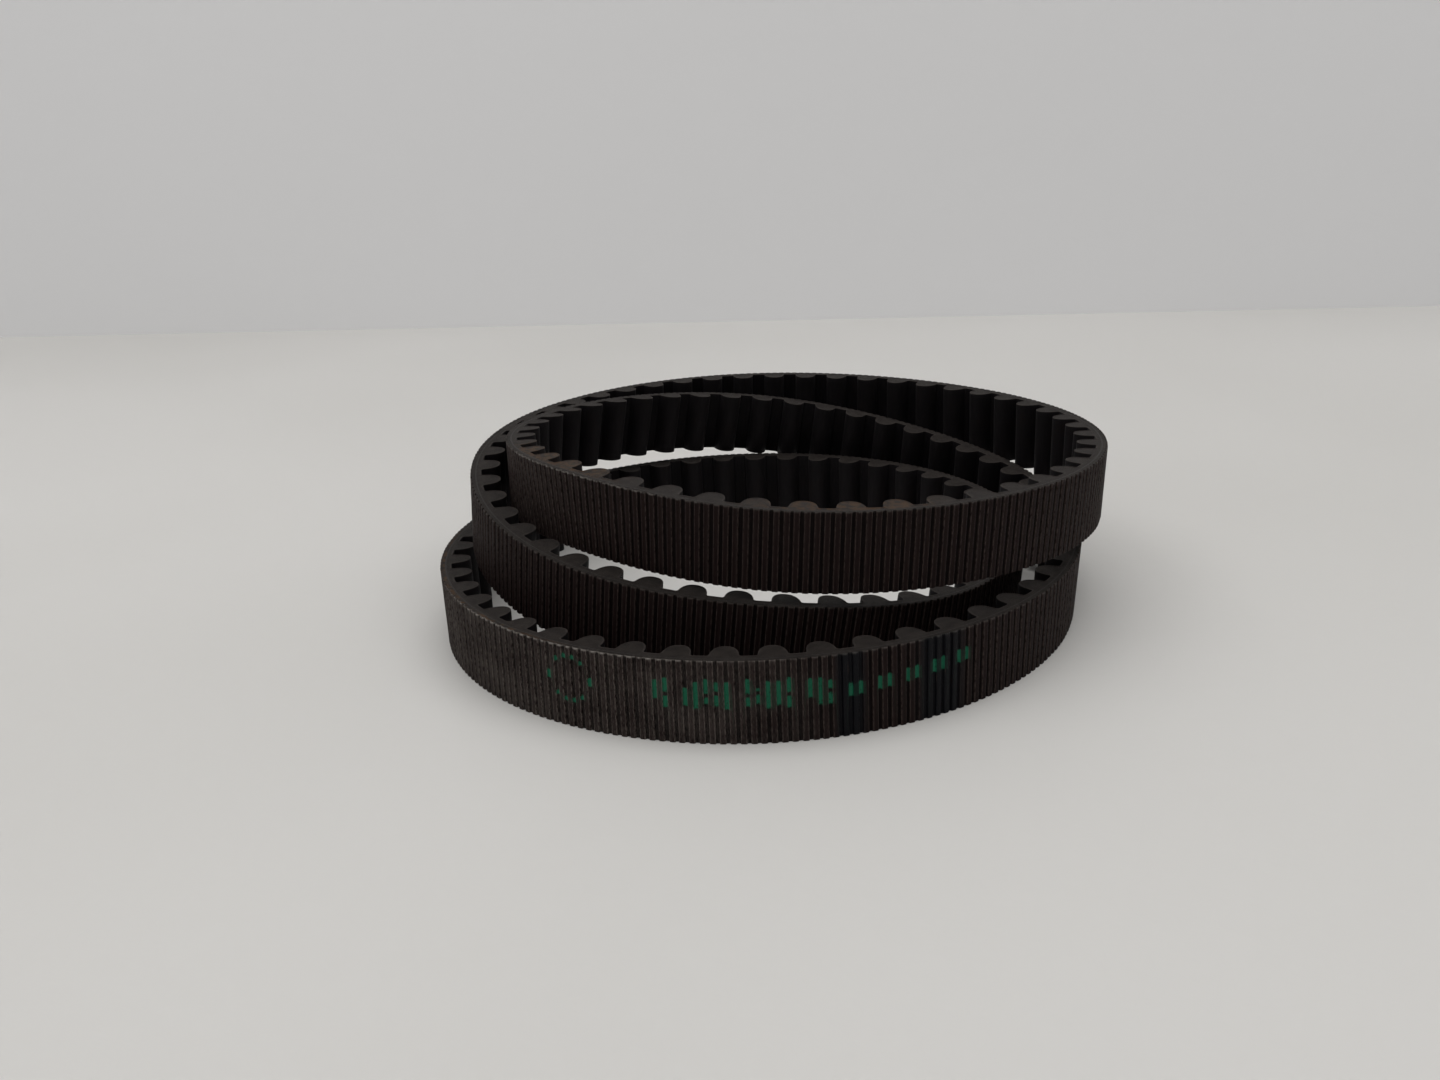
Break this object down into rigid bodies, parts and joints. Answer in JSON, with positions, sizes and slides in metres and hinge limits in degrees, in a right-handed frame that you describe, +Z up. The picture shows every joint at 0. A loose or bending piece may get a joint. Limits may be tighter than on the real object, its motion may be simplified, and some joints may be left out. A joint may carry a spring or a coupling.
{
  "type": "timing belt",
  "caption": "Endless timing belt with rounded teeth inside and a ribbed back, coiled into three turns and standing on its edge.",
  "frame": {"origin": "centre of the coil's bounding box, on the surface it stands on", "axes": "+Z up, out of the coil; -Y faces the side where the top turn crosses over the other two"},
  "size_m": [0.1324, 0.134, 0.0371],
  "materials": {
    "backing_rubber": "satin, worn dark rubber with fine cross ribs",
    "tension_cord": "twisted glass cord",
    "tooth_rubber": "matte cut rubber",
    "facing_cloth": "rubbed nylon cloth"
  },
  "bodies": {
    "turn1_front_right": {"turn1_front_right_backing": "backing_rubber", "turn1_front_right_cord_band": "tension_cord", "turn1_front_right_tooth_rubber": "tooth_rubber", "turn1_front_right_tooth_facing": "facing_cloth"},
    "turn1_back_right": {"turn1_back_right_backing": "backing_rubber", "turn1_back_right_cord_band": "tension_cord", "turn1_back_right_tooth_rubber": "tooth_rubber", "turn1_back_right_tooth_facing": "facing_cloth"},
    "turn1_back_left": {"turn1_back_left_backing": "backing_rubber", "turn1_back_left_cord_band": "tension_cord", "turn1_back_left_tooth_rubber": "tooth_rubber", "turn1_back_left_tooth_facing": "facing_cloth"},
    "turn1_front_left": {"turn1_front_left_backing": "backing_rubber", "turn1_front_left_cord_band": "tension_cord", "turn1_front_left_tooth_rubber": "tooth_rubber", "turn1_front_left_tooth_facing": "facing_cloth"},
    "turn2_front_right": {"turn2_front_right_backing": "backing_rubber", "turn2_front_right_cord_band": "tension_cord", "turn2_front_right_tooth_rubber": "tooth_rubber", "turn2_front_right_tooth_facing": "facing_cloth"},
    "turn2_back_right": {"turn2_back_right_backing": "backing_rubber", "turn2_back_right_cord_band": "tension_cord", "turn2_back_right_tooth_rubber": "tooth_rubber", "turn2_back_right_tooth_facing": "facing_cloth"},
    "turn2_back_left": {"turn2_back_left_backing": "backing_rubber", "turn2_back_left_cord_band": "tension_cord", "turn2_back_left_tooth_rubber": "tooth_rubber", "turn2_back_left_tooth_facing": "facing_cloth"},
    "turn2_front_left": {"turn2_front_left_backing": "backing_rubber", "turn2_front_left_cord_band": "tension_cord", "turn2_front_left_tooth_rubber": "tooth_rubber", "turn2_front_left_tooth_facing": "facing_cloth"},
    "turn3_front_right": {"turn3_front_right_backing": "backing_rubber", "turn3_front_right_cord_band": "tension_cord", "turn3_front_right_tooth_rubber": "tooth_rubber", "turn3_front_right_tooth_facing": "facing_cloth"},
    "turn3_back_right": {"turn3_back_right_backing": "backing_rubber", "turn3_back_right_cord_band": "tension_cord", "turn3_back_right_tooth_rubber": "tooth_rubber", "turn3_back_right_tooth_facing": "facing_cloth"},
    "turn3_back_left": {"turn3_back_left_backing": "backing_rubber", "turn3_back_left_cord_band": "tension_cord", "turn3_back_left_tooth_rubber": "tooth_rubber", "turn3_back_left_tooth_facing": "facing_cloth"},
    "turn3_front_left": {"turn3_front_left_backing": "backing_rubber", "turn3_front_left_cord_band": "tension_cord", "turn3_front_left_tooth_rubber": "tooth_rubber", "turn3_front_left_tooth_facing": "facing_cloth"}
  },
  "joints": [
    {"name": "turn3_front_flex", "type": "hinge", "parent": "turn2_front_left", "child": "turn3_front_right", "pos_m": [0.00042, -0.06556, 0.00715], "axis": [0, 0, 1], "range_deg": [-3, 3], "stiffness_Nm_per_rad": 0.02},
    {"name": "turn3_right_flex", "type": "hinge", "parent": "turn3_front_right", "child": "turn3_back_right", "pos_m": [0.05882, -0.00084, 0.00893], "axis": [0, 0, 1], "range_deg": [-3.2, 3.2], "stiffness_Nm_per_rad": 0.02},
    {"name": "turn3_back_flex", "type": "hinge", "parent": "turn3_back_right", "child": "turn3_back_left", "pos_m": [-0.00434, 0.05579, 0.02161], "axis": [0, 0, 1], "range_deg": [-3.2, 3.2], "stiffness_Nm_per_rad": 0.02},
    {"name": "turn3_left_flex", "type": "hinge", "parent": "turn3_back_left", "child": "turn3_front_left", "pos_m": [-0.05208, 0.00157, 0.02803], "axis": [0, 0, 1], "range_deg": [-3.2, 3.2], "stiffness_Nm_per_rad": 0.02},
    {"name": "turn1_front_flex", "type": "hinge", "parent": "turn3_front_left", "child": "turn1_front_right", "pos_m": [-0.00196, -0.05305, 0.02757], "axis": [0, 0, 1], "range_deg": [-3.2, 3.2], "stiffness_Nm_per_rad": 0.02},
    {"name": "turn1_right_flex", "type": "hinge", "parent": "turn1_front_right", "child": "turn1_back_right", "pos_m": [0.0649, -0.00025, 0.02375], "axis": [0, 0, 1], "range_deg": [-3.2, 3.2], "stiffness_Nm_per_rad": 0.02},
    {"name": "turn1_back_flex", "type": "hinge", "parent": "turn1_back_right", "child": "turn1_back_left", "pos_m": [0.00009, 0.06547, 0.02408], "axis": [0, 0, 1], "range_deg": [-3.2, 3.2], "stiffness_Nm_per_rad": 0.02},
    {"name": "turn1_left_flex", "type": "hinge", "parent": "turn1_back_left", "child": "turn1_front_left", "pos_m": [-0.05936, -0.00492, 0.02218], "axis": [0, 0, 1], "range_deg": [-3.2, 3.2], "stiffness_Nm_per_rad": 0.02},
    {"name": "turn2_front_flex", "type": "hinge", "parent": "turn1_front_left", "child": "turn2_front_right", "pos_m": [0.00252, -0.0533, 0.01075], "axis": [0, 0, 1], "range_deg": [-3.2, 3.2], "stiffness_Nm_per_rad": 0.02},
    {"name": "turn2_left_flex", "type": "hinge", "parent": "turn2_front_left", "child": "turn2_back_left", "pos_m": [-0.06498, -0.00176, 0.00715], "axis": [0, 0, 1], "range_deg": [-3.2, 3.2], "stiffness_Nm_per_rad": 0.02},
    {"name": "turn2_back_flex", "type": "hinge", "parent": "turn2_back_left", "child": "turn2_back_right", "pos_m": [-0.00549, 0.05155, 0.00715], "axis": [0, 0, 1], "range_deg": [-3.2, 3.2], "stiffness_Nm_per_rad": 0.02}
  ],
  "couplings": [
    {"joint": "turn3_right_flex", "follows": "turn3_front_flex", "ratio": -0.972},
    {"joint": "turn3_back_flex", "follows": "turn3_front_flex", "ratio": 0.9717},
    {"joint": "turn3_left_flex", "follows": "turn3_front_flex", "ratio": -0.9964},
    {"joint": "turn1_front_flex", "follows": "turn3_front_flex", "ratio": 0.9967},
    {"joint": "turn1_right_flex", "follows": "turn3_front_flex", "ratio": -0.9708},
    {"joint": "turn1_back_flex", "follows": "turn3_front_flex", "ratio": 0.9705},
    {"joint": "turn1_left_flex", "follows": "turn3_front_flex", "ratio": -0.9965},
    {"joint": "turn2_front_flex", "follows": "turn3_front_flex", "ratio": 0.9977},
    {"joint": "turn2_left_flex", "follows": "turn3_front_flex", "ratio": 0.9984},
    {"joint": "turn2_back_flex", "follows": "turn3_front_flex", "ratio": -0.9724}
  ]
}
